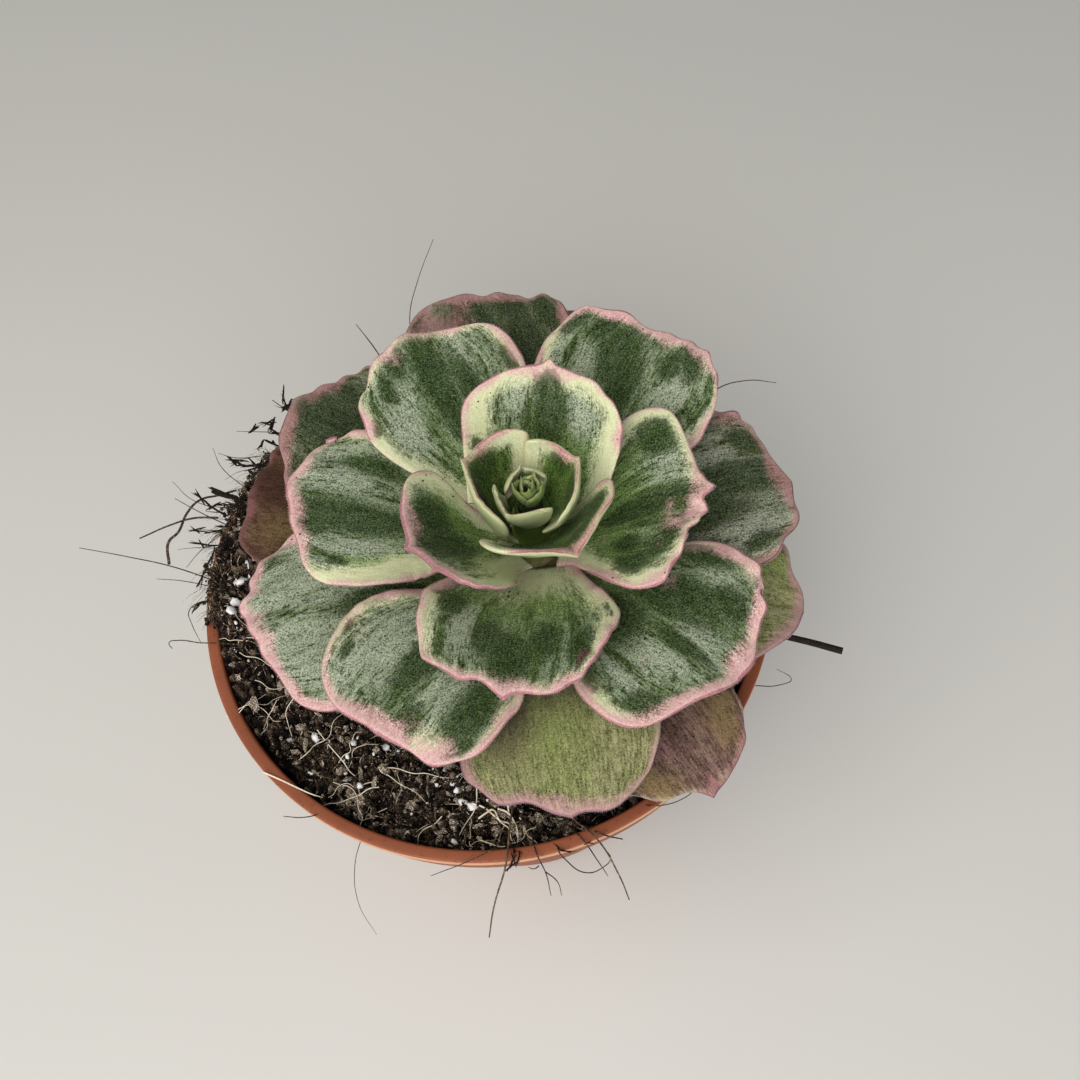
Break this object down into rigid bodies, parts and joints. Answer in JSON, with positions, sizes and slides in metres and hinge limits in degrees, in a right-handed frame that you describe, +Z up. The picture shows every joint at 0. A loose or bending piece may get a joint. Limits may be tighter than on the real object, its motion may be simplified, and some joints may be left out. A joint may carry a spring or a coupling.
{
  "type": "potted aeonium",
  "caption": "Rosette of broad velvety variegated leaves on a short stem, in a round tapered nursery pot filled with peaty soil.",
  "frame": {"origin": "centre of the flat underside of the pot, where it rests", "axes": "+Z up out of the pot; -Y towards the side where the soil shows, +X to the right of it, the side that the rosette leans over"},
  "size_m": [0.1435, 0.1324, 0.1301],
  "materials": {
    "pot": "satin",
    "soil": "matte",
    "stem": "matte",
    "leaf_young": "matte",
    "leaf_grown": "matte",
    "leaf_old": "matte",
    "root": "matte",
    "twig": "matte"
  },
  "bodies": {
    "root": {"pot": "pot", "soil": "soil", "stem": "stem", "bud": "leaf_young", "leaf_01": "leaf_young", "leaf_02": "leaf_young", "leaf_03": "leaf_young", "leaf_04": "leaf_young", "leaf_05": "leaf_young", "leaf_06": "leaf_grown", "leaf_07": "leaf_grown", "leaf_08": "leaf_grown", "leaf_09": "leaf_grown", "leaf_10": "leaf_grown", "leaf_11": "leaf_grown", "leaf_12": "leaf_grown", "leaf_13": "leaf_grown", "leaf_14": "leaf_grown", "leaf_15": "leaf_grown", "leaf_16": "leaf_grown", "leaf_17": "leaf_grown", "leaf_18": "leaf_old", "leaf_19": "leaf_old", "leaf_20": "leaf_old", "leaf_21": "leaf_old", "leaf_22": "leaf_old", "leaf_23": "leaf_old", "leaf_24": "leaf_old", "leaf_25": "leaf_old", "root_left_curl": "root", "root_left_long": "root", "root_front_left": "root", "root_front_right": "root", "twig": "twig"}
  },
  "joints": []
}
